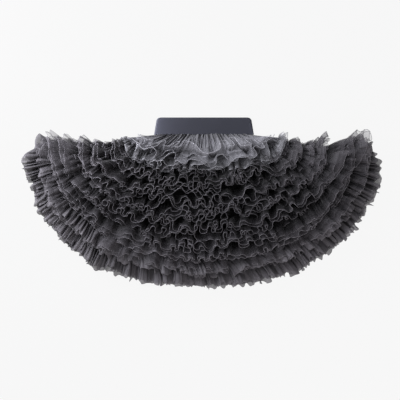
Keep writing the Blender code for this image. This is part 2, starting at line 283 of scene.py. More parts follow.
# The back of the skirt: its height above the floor, its samples and rows, how soon it folds up at the
# sides, the roll of its hem, and its creases, with the row that they are measured on
BACK_HEIGHT = 0.004
BACK_SAMPLES = 181
BACK_YOKE_ROWS = 8
BACK_PANEL_ROWS = 24
BACK_FOLD_POWER = 1.5
BACK_HEM_ROLL = 0.010
BACK_HEM_TURNS = np.radians((25, 50, 75, 100, 125, 150))
BACK_CREASE_PITCH = 0.034
BACK_CREASE_HEIGHT = 0.0012
BACK_CREASE_ROW = 20
BACK_CREASE_SHIFT = 2
BACK_CREASE_CHANGE = 9

# One row for each crushed ruffle of the back that shows below the hem, from the top one down: its share of
# the hem's height, how far its root is beyond the hem, its height, the pitch of a wave and the room for it
BACK_COLUMNS = ("level", "beyond", "height", "pitch", "room")
BACK_ROWS = (
    (0.83, 0.000, 0.032, 0.020, 0.0045),
    (0.60, 0.003, 0.031, 0.022, 0.0040),
    (0.36, 0.006, 0.031, 0.024, 0.0030),
    (0.13, 0.009, 0.031, 0.021, 0.0020),
)
BACK_CLOTH = {
    "spread": 5,
    "flop": 4,
    "drift": 0,
    "ragged": 0.12,
    "spiky": 0.13,
    "flare": 1.3,
    "gathers": FINE_PITCH,
    "pleats": 1.2,
    "edge_pleats": 1.6,
}

# Every crushed ruffle: its lean, how much of the panel's slope it keeps, and its size round the side folds
BACK_LEAN = math.radians(1)
BACK_SLOPE = 0.2
BACK_FOLD_SIZE = 0.62
BACK_SEED = 105

# The back's ruffles that are pressed flat against the floor: their places from yoke (0) to hem (1), their
# cloth, where round the fan they start, and their lean, height and room for waves
PRESSED_PLACES = (0.02, 0.16, 0.30, 0.44, 0.58, 0.72, 0.86)
PRESSED_CLOTH = {
    "pitch": 0.030,
    "spread": 0,
    "flop": 0,
    "drift": 0,
    "ragged": 0.05,
    "spiky": 0.04,
    "flare": 1.6,
    "gathers": FINE_PITCH,
    "pleats": 1,
    "edge_pleats": 0.3,
}
PRESSED_START = 0.07
PRESSED_LEAN = math.radians(0.5)
PRESSED_HEIGHT = 0.045
PRESSED_ROOM = 0.0010
PRESSED_SEED = 125

# Tulle: the rows of a strip where its next material starts, how opaque each material is, the place beyond
# which a row has a darker, more opaque copy of the tulle, how dark the painted shade at the root of each
# cloth is, and how far from the root that ends
SLOT_STARTS = (3, 5, len(RUFFLE_PARTS) - 1)
ROW_ALPHAS = (0.86, 0.60, 0.28)
RIM_ALPHAS = (0.96, 0.92, 0.86)
EDGE_ALPHA = 0.95
RIM_PLACE = 0.85
ROW_ROOT_SHADE = 0.06
FRILL_ROOT_SHADE = 0.30
FIRST_ROOT_SHADE = 0.15
RIM_ROOT_SHADE = 0.10
LIT_FROM = 0.9

# Tulle: its net, its slow changes of tone, and its gloss
TULLE_ROUGHNESS = 0.6
TULLE_SHEEN = 0.14
TULLE_GLOSS = 0.25
SHEEN_ROUGHNESS = 0.4
NET_SCALE = 850
NET_TONES = {"From Max": 0.14, "To Min": 1.15, "To Max": 0.85}
NET_BUMP = {"Strength": 0.25, "Distance": 0.0003}
CLOUD_SCALE = 38
CLOUD_DETAIL = 3
CLOUD_TONES = {"From Min": 0.3, "From Max": 0.7, "To Min": 0.75, "To Max": 1.25}

# Satin: its gloss, its ribs, its slow changes of tone, and its painted light from the left end (0) to the
# right (1): painted highlights on the rounded ends, brighter at the lit left end
SATIN_ROUGHNESS = 0.6
SATIN_SHEEN = 0.12
SATIN_GLOSS = 0.2
RIBS = {"Scale": 260, "Distortion": 0.6, "Detail": 1}
RIB_BUMP = {"Strength": 0.12, "Distance": 0.0002}
SATIN_CLOUD_SCALE = 14
SATIN_TONES = {"To Min": 0.88, "To Max": 1.12}
SATIN_END_HIGHLIGHTS = ((0.0, 2.8), (1.0, 2.0))
SATIN_HIGHLIGHT_SPOTS = ((0.05, 1.95), (0.14, 1.35), (0.35, 1.02), (0.88, 0.98), (0.95, 1.35))

# Colours, linear
WHITE = (1, 1, 1, 1)
TULLE = (0.112, 0.104, 0.115)
# The rows' free edges are lighter than their cloth: a painted highlight where the edges catch the light
TULLE_EDGE_HIGHLIGHT = (0.170, 0.160, 0.176)
TULLE_PAINTED_SHADOW = (0.010, 0.009, 0.011)
# Near black for the panels under the ruffles: painted shadow deep in the pile
RIM_TULLE = (0.098, 0.091, 0.100)
# Painted highlight on the free edges of the rows at the hem
RIM_EDGE_HIGHLIGHT = (0.145, 0.136, 0.149)
# The frills and the first row are the same tulle, painted lighter where they face up to the light
FRILL_TULLE_LIT = (0.30, 0.295, 0.32)
FIRST_TULLE_LIT = (0.36, 0.355, 0.38)
# The yoke's cloth, painted a little lighter than the rows where it faces up to the light
YOKE_TULLE_LIT = (0.13, 0.127, 0.14)
SATIN = (0.0375, 0.0385, 0.050)
FLOOR = (0.012, 0.012, 0.012)

# The studio: a glowing floor and surround, and for each light its location, power, size and colour. The
# size is a sun's angle or a softbox's diameter
FLOOR_HALF = 6.0
FLOOR_ROUGHNESS = 0.9
FLOOR_GLOW = 0.915
SURROUND_LIGHT = 0.20
SURROUND_LOOK = 0.94
LIGHT_COLUMNS = ("name", "kind", "location", "power", "size", "colour")
LIGHTS = (
    ("window", "SUN", (-1.4, 1.5, 1.2), 2.2, math.radians(60), (0.96, 0.98, 1.05)),
    ("softbox", "AREA", (-0.85, 0.5, 0.5), 17, 0.7, (0.97, 0.98, 1.04)),
    ("fill", "AREA", (0.55, -1.25, 0.8), 14, 1.0, (1.0, 0.97, 1.0)),
)

# Camera: straight above the skirt, with the photograph's framing at one height in the pile
FRAME_WIDTH = 0.96
VIEW_CENTRE = (-0.0077, 0.0072)
CAMERA_DISTANCE = 3.0
FRAMED_HEIGHT = 0.03
SENSOR_MM = 36.0


def smooth(value):
    """Eased 0 to 1."""
    value = np.clip(value, 0, 1)
    return value * value * (3 - 2 * value)


def ramp(value, span):
    """Eased 0 to 1 as the value goes through the span."""
    start, end = span
    return smooth((value - start) / (end - start))


def mix(pair, share):
    """From the first of a pair (0) to the second (1)."""
    first, second = pair
    return first + (second - first) * share


def bell(value, centre_and_spread):
    """1 at the centre, fading to 0 on both sides."""
    centre, spread = centre_and_spread
    return np.exp(-(((value - centre) / spread) ** 2))


def unit(vectors):
    return vectors / np.linalg.norm(vectors, axis=-1, keepdims=True)


def levelled(directions, slope=0.0):
    """Directions that keep only this share of their slope."""
    return unit(directions * (1, 1, slope))


def wander(positions, spacing, rng):
    """A smooth random curve between -1 and 1, with a new value at every spacing."""
    knots = rng.uniform(-1, 1, int(positions[-1] / spacing) + 3)
    index = np.floor(positions / spacing).astype(int)
    ease = smooth(positions / spacing - index)
    return knots[index] * (1 - ease) + knots[index + 1] * ease


def fold_angle(place):
    """Angle of the side fold below the waistband's line: least at the yoke and the hem."""
    return FOLD_ANGLE + FOLD_ANGLE_RISE * np.sin(math.pi * np.clip(place, 0, 1) ** FOLD_ANGLE_POWER)


def hem_reach(angle):
    """How far the panel's hem is from the waistband, at this angle round the fan."""
    return mix((SIDE_HEM_REACH, MIDDLE_HEM_REACH), np.sin(angle) ** HEM_FULLNESS)


def skirt_points(share, place):
    """Points on the panel: share goes from fold to fold and a little under them, place from yoke to hem."""
    share, place = np.broadcast_arrays(np.asarray(share, float), np.asarray(place, float))
    turn = FOLD_WIDTH / mix((YOKE_REACH, MIDDLE_HEM_REACH), place)
    first = fold_angle(place)
    crown = YOKE_HEIGHT + CROWN_RISE * np.sin(math.pi * np.clip(place, 0, 1)) - HEM_DROP * place**4
    nearest = np.minimum(share, 1 - share)
    bend = np.minimum(nearest / FOLD_SHARE, 1) * math.pi / 2
    middle = np.clip((nearest - FOLD_SHARE) / (1 - 2 * FOLD_SHARE), 0, 1)
    angle = first + turn * (1 - np.cos(bend)) + (math.pi - 2 * first - 2 * turn) * middle
    height = mix((FOLD_HEIGHT, crown), np.sin(bend))
    reach = mix((YOKE_REACH, hem_reach(angle)), place)
    x = (BAND_SEAM_WIDTH / 2 + reach) * np.cos(angle) * np.where(share > 0.5, 1, -1)
    y = BAND_SEAM_Y - reach * np.sin(angle)
    return np.stack((x, y, height), axis=-1)


def skirt_frames(share, place):
    """Points of the panel with the directions out to the hem and away from the pile."""
    ahead = skirt_points(share + FRAME_STEP, place)
    along = unit(ahead - skirt_points(share - FRAME_STEP, place))
    out = skirt_points(share, place + FRAME_STEP) - skirt_points(share, place - FRAME_STEP)
    out = unit(out - along * np.sum(out * along, axis=-1, keepdims=True))
    return skirt_points(share, place), out, np.cross(out, along)


def yoke_points(share, part):
    """Points on the yoke, from the waistband's lower edge (0) to the panel's first line (1)."""
    end = skirt_points(share, 0.0)
    seam_x = -BAND_SEAM_WIDTH / 2 * (1 - 2 * share)
    seam = np.stack((seam_x, np.full_like(share, BAND_SEAM_Y), np.full_like(share, SEAM_HEIGHT)), axis=-1)
    point = mix((seam, end), part)
    point[..., 2] = mix((SEAM_HEIGHT, end[..., 2]), math.sin(math.pi / 2 * part))
    return point


def travel(points):
    """How far along a line each of its points is."""
    return np.concatenate(([0], np.cumsum(np.linalg.norm(np.diff(points, axis=0), axis=1))))


def ring_line(place, first_share):
    """A fine line round the panel at one place: its travel, its shares, and its points and directions."""
    shares = np.linspace(first_share, 1 - first_share, LINE_SAMPLES)
    line = skirt_frames(shares, place)
    return travel(line[0]), shares, line


def add_mesh(name, points, faces, materials, face_slots=None):
    """A smooth-shaded mesh object, in place, of these points and faces."""
    mesh = bpy.data.meshes.new(name)
    mesh.from_pydata(points.reshape(-1, 3).tolist(), [], faces.tolist())
    for material in materials:
        mesh.materials.append(material)
    if face_slots is not None:
        mesh.polygons.foreach_set("material_index", face_slots.astype(np.int32))
    mesh.shade_smooth()
    piece = bpy.data.objects.new(name, mesh)
    bpy.context.scene.collection.objects.link(piece)
    return piece


def grid_faces(columns, rows):
    """The faces of a grid of points that is stored column by column."""
    corner = np.arange((columns - 1) * rows).reshape(columns - 1, rows)[:, :-1].ravel()
    return np.stack((corner, corner + 1, corner + rows + 1, corner + rows), axis=1)


def surface_area(grid):
    sides = np.cross(grid[1:, :-1] - grid[:-1, :-1], grid[:-1, 1:] - grid[:-1, :-1])
    return float(np.linalg.norm(sides, axis=-1).sum())


def dress(piece, nodes=()):
    """Puts a piece on the skirt's one body and hides the solids that it stands for."""
    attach(piece, "root")
    if nodes:
        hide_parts(*nodes)


def bowed(out, away, angle):
    """Directions at these angles above out, towards away."""
    return out * np.cos(angle)[:, None] + away * np.sin(angle)[:, None]


def turned(out, away, angle):
    """Directions square to the ones that bowed gives."""
    return away * np.cos(angle)[:, None] - out * np.sin(angle)[:, None]


def blurred(values):
    """Values along a strip, each the mean of the two waves round it."""
    window = np.ones(COLUMNS_PER_WAVE * 2 + 1) / (COLUMNS_PER_WAVE * 2 + 1)
    return np.convolve(np.pad(values, COLUMNS_PER_WAVE, mode="edge"), window, mode="valid")


def meander(length, pitch, shape_rng, ply_rng):
    """A free edge that wanders like a river: where each column is gathered to, and its run and swing.

    Plies with equal shape_rng run side by side, and ply_rng is each one's own.
    """
    waves = max(FEWEST_WAVES, round(length / pitch))
    turn = np.linspace(0, waves, waves * COLUMNS_PER_WAVE + 1)
    marks = np.arange(waves + 1)
    size = np.interp(turn, marks, np.exp(WAVE_SPREAD * shape_rng.uniform(-1, 1, waves + 1)))
    size *= mix(WAVE_SIZES, np.abs(2 * turn / waves - 1))
    swing = np.interp(turn, marks, shape_rng.uniform(*SWING_RANGE, waves + 1))
    heading = swing * np.sin(2 * math.pi * turn) + HEADING_NOISE * wander(turn, HEADING_SPACING, shape_rng)
    heading += PLY_NOISE * wander(turn, PLY_SPACING, ply_rng)
    run = np.concatenate(([0], np.cumsum(size[1:] * np.cos(heading[1:]))))
    across = np.concatenate(([0], np.cumsum(size[1:] * np.sin(heading[1:]))))
    gathered = np.concatenate(([0], np.cumsum(size[1:])))
    scale = length / run[-1]
    root = mix((gathered * length / gathered[-1], blurred(run) * scale), STRAIGHTNESS)
    return root, run * scale, (across - blurred(across)) * scale


def base_line(distance, frames, lean, height, room, shade=SIDE_SHADE, crinkle=1.0):
    """What a strip follows: a line's travel, its points and their directions out and away.

    Each point has the strip's lean in radians, its height, the room for its waves, how steeply the painted
    shade at its root fades (shade) and how much deeper its fine gathers are (crinkle).
    """
    base = dict(zip(("point", "out", "away"), frames), travel=distance)
    values = {"lean": lean, "height": height, "room": room, "shade": shade, "crinkle": crinkle}
    for key, value in values.items():
        base[key] = np.full(len(distance), value, dtype=float)
    return base


def sample(position, base, key):
    """Values of the base line at these travels along it, made unit where they are directions."""
    values = base[key]
    if values.ndim == 1:
        return np.interp(position, base["travel"], values)
    columns = np.stack([np.interp(position, base["travel"], axis) for axis in values.T], axis=1)
    return columns if key == "point" else unit(columns)


def rolled_edge(grid):
    """Rings of the small roll along the free edge of a strip."""
    rise = unit(grid[:, -1] - grid[:, -2])
    edge_line = unit(np.gradient(grid[:, -1], axis=0))
    side = unit(np.cross(edge_line, rise))
    turns = [(math.sin(turn), 1 - math.cos(turn)) for turn in ROLL_TURNS]
    return np.stack([grid[:, -1] + ROLL_RADIUS * (up * rise + over * side) for up, over in turns], axis=1)


def shade_strip(piece, shade, columns, rows):
    """Stores the painted shade of each point of a strip, darkest at its root and in deep rows, for its
    material.
    """
    roll = np.ones((columns, rows - len(RUFFLE_PARTS)))
    parts = np.concatenate((RUFFLE_PARTS ** shade[:, None], roll), axis=1)
    # Painted shade: a strip is darker as a whole where it stands deep in the middle of the fan.
    parts *= (SIDE_SHADE / shade[:, None]) ** DEPTH_DIMMING
    painted_shade = piece.data.attributes.new("painted_shade", "FLOAT", "POINT")
    painted_shade.data.foreach_set("value", parts.ravel().astype(np.float32))


def gathered_strip(name, base, spec, seed, ply, materials):
    """A gathered strip whose root follows a base line and whose free edge meanders, with its flat size.

    spec gives the pitch of a wave; how much the lean varies (spread) and the free edge flops over, in
    degrees; how far the strip drifts; how ragged and spiky its height is; how soon it opens (flare); and the
    pitch of its fine gathers with their depth at the root (pleats) and at the free edge (edge_pleats).
    Strips with one seed are plies of a double ruffle.
    """
    rng = np.random.default_rng((seed, ply, 1))
    shape_rng = np.random.default_rng(seed)
    root, run, across = meander(base["travel"][-1], spec["pitch"], shape_rng, rng)
    slow = wander(root, DRIFT_SPACING, shape_rng)
    lean_noise = math.radians(spec["spread"]) * wander(root, LEAN_SPACING, shape_rng)
    apart = ply * PLY_GAP * (1 + GAP_CHANGE * wander(root, GAP_SPACING, rng))
    flop = math.radians(spec["flop"]) * (1 + FLOP_CHANGE * wander(root, FLOP_SPACING, rng))
    height_noise = 1 + spec["ragged"] * wander(root, RAGGED_SPACING, rng)
    height_noise += spec["spiky"] * wander(root, SPIKE_SPACING, rng)
    fine = 2 * math.pi * (root / spec["gathers"] + FINE_CHANGE * wander(root, FINE_SPACING, rng))
    fine_wave = FINE_DEPTH * np.sin(fine) * (1 + DEPTH_CHANGE * wander(root, DEPTH_SPACING, rng))
    fine_wave *= sample(root, base, "crinkle")
    grid = np.zeros((len(root), len(RUFFLE_PARTS), 3))
    for j, part in enumerate(RUFFLE_PARTS):
        opening = mix((ROOT_OPENING, 1), 1 - (1 - part) ** spec["flare"])
        position = root + (run - root) * opening
        point, out, away = (sample(position, base, key) for key in ("point", "out", "away"))
        lean = sample(position, base, "lean") + lean_noise
        height = sample(position, base, "height") * height_noise
        room = sample(position, base, "room")
        spine_lean = lean + flop * (FLOP_BALANCE - part / 2)
        spine = point + away * ROOT_LIFT + (part * height)[:, None] * bowed(out, away, spine_lean)
        swing = (room * np.tanh(across / room) + spec["drift"] * slow - apart) * opening
        swing += fine_wave * mix((spec["pleats"], spec["edge_pleats"]), part)
        grid[:, j] = spine + swing[:, None] * turned(out, away, lean + flop * (FLOP_BALANCE - part))
    whole = np.concatenate((grid, rolled_edge(grid)), axis=1)
    whole[..., 2] = np.maximum(whole[..., 2], FLOOR_GAP * (1 + seed % FLOOR_LEVELS))
    columns, rows = whole.shape[:2]
    face_slots = np.tile(np.digitize(np.arange(rows - 1), SLOT_STARTS), columns - 1)
    piece = add_mesh(name, whole, grid_faces(columns, rows), materials, face_slots)
    shade_strip(piece, sample(root, base, "shade"), columns, rows)
    cut_height = float(height.mean() + 3 * ROLL_RADIUS)
    return piece, (GATHER_ALLOWANCE * surface_area(grid) / cut_height, cut_height)


def corner_growth(sideways, shares, growth):
    """How much longer the cloth is at the fan's two lower corners: growth is the left and the right one's."""
    return np.where(shares < 0.5, *growth) * bell(sideways, CORNER_BELL)


def fold_value(place, column):
    """A value of the side folds' table at a place from yoke to hem."""
    table = dict(zip(FOLD_COLUMNS, np.transpose(FOLD_ROWS)))
    return np.interp(place, table["place"], table[column])


def row_base(number, ply, spec, hem, flare_rng):
    """The base line of one ply of a row on the front."""
    place = spec["place"] + PLY_STEP * ply
    distance, shares, frames = ring_line(place, -FOLD_WRAP)
    sideways = np.abs(2 * shares - 1)
    turned_over = ramp(sideways, TURNED_SPAN)
    lean = np.radians(mix((spec["lean"], spec["side_lean"]), ramp(sideways, LEAN_SPAN)))
    lean = mix((lean, np.radians(fold_value(place, "lean"))), turned_over)
    size = smooth(np.minimum(distance, distance[-1] - distance) / END_TAPER + END_START)
    fold_size = np.where(shares < 0.5, fold_value(place, "left_size"), fold_value(place, "right_size"))
    fold_size += FOLD_NOISE * wander(distance, FOLD_NOISE_SPACING, flare_rng)
    size *= mix((1, fold_size), turned_over)
    size *= 1 - SIDE_TUCK * (number % 2) * (1 - hem) * smooth(sideways * SIDE_TUCK_RISE)
    size *= 1 + hem * corner_growth(sideways, shares, CORNER_GROWTH)
    lit = np.maximum(ramp(sideways, SHADE_SPAN), ramp(place, HEM_SHADE_SPAN))
    side_crinkle = mix((1, SIDE_CRINKLE), ramp(sideways, CRINKLE_SPAN))
    return base_line(
        distance,
        frames,
        lean=lean,
        height=spec["height"] * (1 - PLY_TRIM * ply) * size,
        room=spec["room"] * (1 - SIDE_ROOM * sideways**SIDE_ROOM_POWER),
        shade=mix((MIDDLE_SHADE, SIDE_SHADE), lit),
        crinkle=np.maximum(side_crinkle, mix((1, HEM_CRINKLE), hem)),
    )


def front_ruffles(row_materials, first_materials, rim_materials):
    """The rows of double ruffles on the front of the skirt, from the yoke to the hem."""
    done = set()
    for number, row in enumerate(RUFFLE_ROWS):
        spec = dict(zip(RUFFLE_COLUMNS, row), **ROW_CLOTH)
        hem = ramp(spec["place"], HEM_SPAN)
        spec.update(spiky=mix(SPIKES, hem), pleats=mix(ROOT_PLEATS, hem), edge_pleats=mix(EDGE_PLEATS, hem))
        materials = rim_materials if spec["place"] > RIM_PLACE else row_materials
        # The first row takes the lighter tulle: painted light where it faces up like the yoke.
        if number == 0:
            materials = first_materials
        flare_rng = np.random.default_rng(ROW_SEED + FLARE_SEED + number)
        for ply in (0, 1):
            base = row_base(number, ply, spec, hem, flare_rng)
            name = f"front_ruffle_{number + 1:02d}_ply_{ply + 1}"
            piece, cut = gathered_strip(name, base, spec, ROW_SEED + number, ply, materials)
            nodes = [] if spec["node"] in done else [spec["node"]]
            done.update(nodes)
            dress(piece, nodes)


def back_ruffles(materials):
    """The crushed ruffles of the back that stick out below the hem and round the side folds."""
    for number, row in enumerate(BACK_ROWS):
        spec = dict(zip(BACK_COLUMNS, row), **BACK_CLOTH)
        distance, shares, (point, out, away) = ring_line(1.0, -FOLD_WRAP)
        point = point + levelled(out) * spec["beyond"]
        point[:, 2] *= spec["level"]
        sideways = np.abs(2 * shares - 1)
        size = 1 + corner_growth(sideways, shares, BACK_CORNER_GROWTH)
        size *= mix((1, BACK_FOLD_SIZE), ramp(sideways, BACK_TURNED_SPAN))
        base = base_line(
            distance,
            (point, levelled(out, BACK_SLOPE), away),
            lean=BACK_LEAN + np.radians(fold_value(1.0, "lean")) * ramp(sideways, TURNED_SPAN),
            height=spec["height"] * size,
            room=spec["room"],
        )
        piece, cut = gathered_strip(f"back_ruffle_{number + 1}", base, spec, BACK_SEED + number, 0, materials)
        dress(piece)


def underside_ruffles(materials):
    """The back's ruffles, pressed flat between the back panel and the floor."""
    for number, place in enumerate(PRESSED_PLACES):
        distance, shares, (point, out, _) = ring_line(place, PRESSED_START)
        point[:, 2] = BACK_HEIGHT
        down = np.tile((0.0, 0.0, -1.0), (len(shares), 1))
        base = base_line(distance, (point, levelled(out), down), PRESSED_LEAN, PRESSED_HEIGHT, PRESSED_ROOM)
        name = f"underside_ruffle_{number + 1}"
        piece, cut = gathered_strip(name, base, PRESSED_CLOTH, PRESSED_SEED + number, 0, materials)
        dress(piece)


def skirt_panel(materials):
    """The panel that the front ruffles are sewn to."""
    shares = np.linspace(0, 1, PANEL_COLUMNS)[:, None]
    places = np.linspace(PANEL_START, 1.0, PANEL_ROWS)[None, :]
    grid = skirt_points(shares, places)
    piece = add_mesh("skirt_panel", grid, grid_faces(*grid.shape[:2]), materials)
    dress(piece, ["skirt_front"])


def back_panel(materials):
    """The skirt's back, from waistband to hem: flat on the floor, folded up at the sides and at the hem."""
    shares = np.linspace(0, 1, BACK_SAMPLES)
    bend = np.minimum(np.minimum(shares, 1 - shares) / FOLD_SHARE, 1) * math.pi / 2
    folded_up = (1 - np.sin(bend)) ** BACK_FOLD_POWER
    lines = []
    for part in np.arange(BACK_YOKE_ROWS) / BACK_YOKE_ROWS:
        line = yoke_points(shares, part)
        line[:, 2] = mix((BACK_HEIGHT, line[:, 2]), folded_up)
        lines.append(line)
    for place in np.linspace(0, 1, BACK_PANEL_ROWS):
        line = skirt_points(shares, place)
        line[:, 2] = mix((BACK_HEIGHT, FOLD_HEIGHT), folded_up)
        lines.append(line)
    edge = lines[-1]
    edge_row = len(lines) - 1
    hem, out, _ = skirt_frames(shares, 1.0)
    rolled_top = hem[:, 2] - 2 * BACK_HEIGHT
    for turn in BACK_HEM_TURNS:
        line = edge + out * (BACK_HEM_ROLL * math.sin(turn) * np.sin(bend))[:, None]
        line[:, 2] = mix((edge[:, 2], rolled_top), (1 - math.cos(turn)) / 2)
        lines.append(line)
    grid = np.stack(lines, axis=1)
    distance = travel(grid[:, BACK_CREASE_ROW])
    shift = BACK_CREASE_SHIFT * np.sin(distance * BACK_CREASE_CHANGE)
    creases = 1 + np.sin(2 * math.pi * distance / BACK_CREASE_PITCH + shift)
    grid[:, 1:edge_row, 2] += (BACK_CREASE_HEIGHT * creases * np.sin(bend))[:, None]
    piece = add_mesh("back_panel", grid, grid_faces(*grid.shape[:2]), materials)
    dress(piece, ["skirt_back_layers"])


def yoke_fold_depths(part):
    """Depths of the yoke's fine, middle and broad folds, from the band (0) to the yoke's end (1)."""
    fine = YOKE_LEAST_DEPTH + YOKE_FINE_DEPTH * bell(part, YOKE_FINE_BELL)
    middle = YOKE_MIDDLE_DEPTH * bell(part, YOKE_MIDDLE_BELL)
    return fine, middle, YOKE_BROAD_DEPTH * part**YOKE_BROAD_RISE


def yoke(materials):
    """The yoke's cloth: fine gathers at the waistband that merge into broad folds further out."""
    rng = np.random.default_rng(YOKE_SEED)
    shares = np.linspace(0, 1, YOKE_SAMPLES)
    distance = shares * YOKE_LINE
    taper = smooth(np.minimum(shares, 1 - shares) / YOKE_TAPER)
    _, out, away = skirt_frames(shares, 0.0)
    phases = []
    for pitch in YOKE_FOLD_PITCHES:
        uneven = YOKE_PITCH_CHANGE * wander(distance, 3 * pitch, rng)
        phases.append(2 * math.pi * (distance / pitch + uneven))
    waves = []
    for phase, sharpness in zip(phases, YOKE_FOLD_SHARPNESS):
        strength = 1 + YOKE_DEPTH_CHANGE * wander(distance, YOKE_DEPTH_SPACING, rng)
        waves.append(np.sin(phase + sharpness * np.sin(phase)) * strength)
    parts = np.linspace(0, YOKE_END, YOKE_ROWS)
    grid = np.zeros((len(shares), len(parts), 3))
    for j, part in enumerate(parts):
        swing = sum(depth * wave for depth, wave in zip(yoke_fold_depths(part), waves))
        swing *= mix((taper, 1), part)
        normal = unit(away * part + np.array((0, 0, 1 - part + 1e-6)))
        puff = YOKE_PUFF * math.sin(math.pi * min(part, 1)) * taper
        grid[:, j] = yoke_points(shares, min(part, 1.0)) + normal * (swing + YOKE_LIFT + puff)[:, None]
        grid[:, j] += out * max(part - 1, 0) * YOKE_REACH
    piece = add_mesh("yoke_under", grid, grid_faces(*grid.shape[:2]), materials)
    dress(piece, ["yoke_front"])


def yoke_frills(materials):
    """The frills over the yoke: two long ones from the waistband, one that stands and one that leans back."""
    shares = np.linspace(*FRILL_SHARES, LINE_SAMPLES)
    from_end = np.minimum(shares - shares[0], shares[-1] - shares)
    along = unit(np.gradient(yoke_points(shares, FRILL_DIRECTION_PART), axis=0) + (1e-9, 0, 0))
    for number, row in enumerate(FRILL_ROWS):
        spec = dict(zip(FRILL_COLUMNS, row), **FRILL_CLOTH)
        above = yoke_points(shares, spec["part"] * FRILL_DIRECTION_PART)
        out = unit(yoke_points(shares, 1.0) - above)
        base = base_line(
            (shares - shares[0]) * FRILL_LINE,
            (yoke_points(shares, spec["part"]), out, unit(np.cross(out, along))),
            lean=math.radians(spec["lean"]),
            height=spec["height"] * mix((FRILL_END_HEIGHT, 1), ramp(from_end, FRILL_HEIGHT_SPAN)),
            room=spec["room"] * mix((FRILL_END_ROOM, 1), ramp(from_end, FRILL_ROOM_SPAN)),
            shade=FRILL_SHADE,
        )
        piece, cut = gathered_strip(f"yoke_frill_{number + 1}", base, spec, FRILL_SEED + number, 0, materials)
        dress(piece)


def pressed_tube(half_width, half_thick, middle, y):
    """One section across the waistband: two straight sides and two tight half rounds."""
    half_straight = half_width - half_thick
    straight = np.linspace(-half_straight, half_straight, BAND_COLUMNS)
    turns = np.linspace(-math.pi / 2, math.pi / 2, BAND_TURN_STEPS)[1:-1]
    end_x = half_straight + half_thick * np.cos(turns)
    end_z = half_thick * np.sin(turns)
    side_z = np.full(BAND_COLUMNS, half_thick)
    x = np.concatenate((straight, end_x, straight[::-1], -end_x))
    z = np.concatenate((-side_z, end_z, side_z, -end_z))
    return np.stack((x, np.full_like(x, y), middle + z), axis=1)


def waistband(materials):
    """The satin-faced elastic: one tube, pressed flat, open at its top and its lower edge."""
    floor_low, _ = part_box("waistband_back")
    low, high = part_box("waistband_front")
    middle = (high.z + floor_low.z) / 2
    half_thick = (high.z - floor_low.z) / 2
    straight_top = high.y - BAND_CORNER_RADIUS
    corner = np.linspace(0, math.pi / 2, BAND_TURN_STEPS)[1:]
    heights = np.concatenate((
        low.y + BAND_ROUNDING * BAND_EDGE_STEPS,
        np.linspace(low.y, straight_top, BAND_ROWS)[1:],
        straight_top + BAND_CORNER_RADIUS * np.sin(corner),
    ))
    outer = []
    inner = []
    for y in heights:
        share = (y - low.y) / (high.y - low.y)
        half = mix((BAND_SEAM_WIDTH, BAND_TOP_WIDTH), share) / 2 + BAND_EASE
        over = max(0.0, y - straight_top) / BAND_CORNER_RADIUS
        half -= BAND_CORNER_RADIUS * (1 - math.sqrt(max(0.0, 1 - over * over)))
        from_edge = min(1.0, min(y - low.y, high.y - y) / BAND_ROUNDING)
        inset = BAND_ROUNDING * (1 - math.sqrt(1 - (1 - from_edge) ** 2))
        outer.append(pressed_tube(half - inset, half_thick - inset, middle, y))
        inner.append(pressed_tube(half - BAND_WALL, half_thick - BAND_WALL, middle, y))
    rings = np.array(outer + inner[::-1]) + (BAND_SHIFT, 0, 0)
    total, count = rings.shape[:2]
    i, j = np.meshgrid(np.arange(total), np.arange(count), indexing="ij")
    after, beside = (i + 1) % total, (j + 1) % count
    faces = np.stack((i * count + j, i * count + beside, after * count + beside, after * count + j), axis=-1)
    piece = add_mesh("waistband", rings, faces.reshape(-1, 4), materials)
    dress(piece, ["waistband_front", "waistband_back"])


def new_material(name, colour, roughness, sheen=0.0, alpha=1.0, specular=0.5):
    """A material with its shader's own values set."""
    material = bpy.data.materials.new(name)
    material.use_nodes = True
    shader = material.node_tree.nodes["Principled BSDF"]
    shader.inputs["Base Color"].default_value = (*colour, 1)
    shader.inputs["Roughness"].default_value = roughness
    shader.inputs["Sheen Weight"].default_value = sheen
    shader.inputs["Sheen Roughness"].default_value = SHEEN_ROUGHNESS
    shader.inputs["Specular IOR Level"].default_value = specular
    shader.inputs["Alpha"].default_value = alpha
    return material, shader


def add_node(owner, kind, inputs, **settings):
    """A node with these settings, whose inputs are set to values or linked to other nodes' outputs."""
    node = owner.node_tree.nodes.new(kind)
    for key, value in settings.items():
        setattr(node, key, value)
    for key, value in inputs.items():
        if isinstance(value, bpy.types.NodeSocket):
            owner.node_tree.links.new(value, node.inputs[key])
        else:
            node.inputs[key].default_value = value
    return node


def map_range(owner, value, numbers):
    return add_node(owner, "ShaderNodeMapRange", {"Value": value, **numbers}).outputs["Result"]


def product(material, first, second):
    return add_node(material, "ShaderNodeMath", {0: first, 1: second}, operation="MULTIPLY").outputs["Value"]


def object_place(material):
    return add_node(material, "ShaderNodeTexCoord", {}).outputs["Object"]


def finish_cloth(material, shader, colour, shade, relief, bump_numbers):
    """Puts a shaded colour and a relief on a cloth's shader."""
    tint = add_node(material, "ShaderNodeVectorMath", {0: colour, "Scale": shade}, operation="SCALE")
    bump = add_node(material, "ShaderNodeBump", {"Height": relief, **bump_numbers})
    material.node_tree.links.new(tint.outputs["Vector"], shader.inputs["Base Color"])
    material.node_tree.links.new(bump.outputs["Normal"], shader.inputs["Normal"])


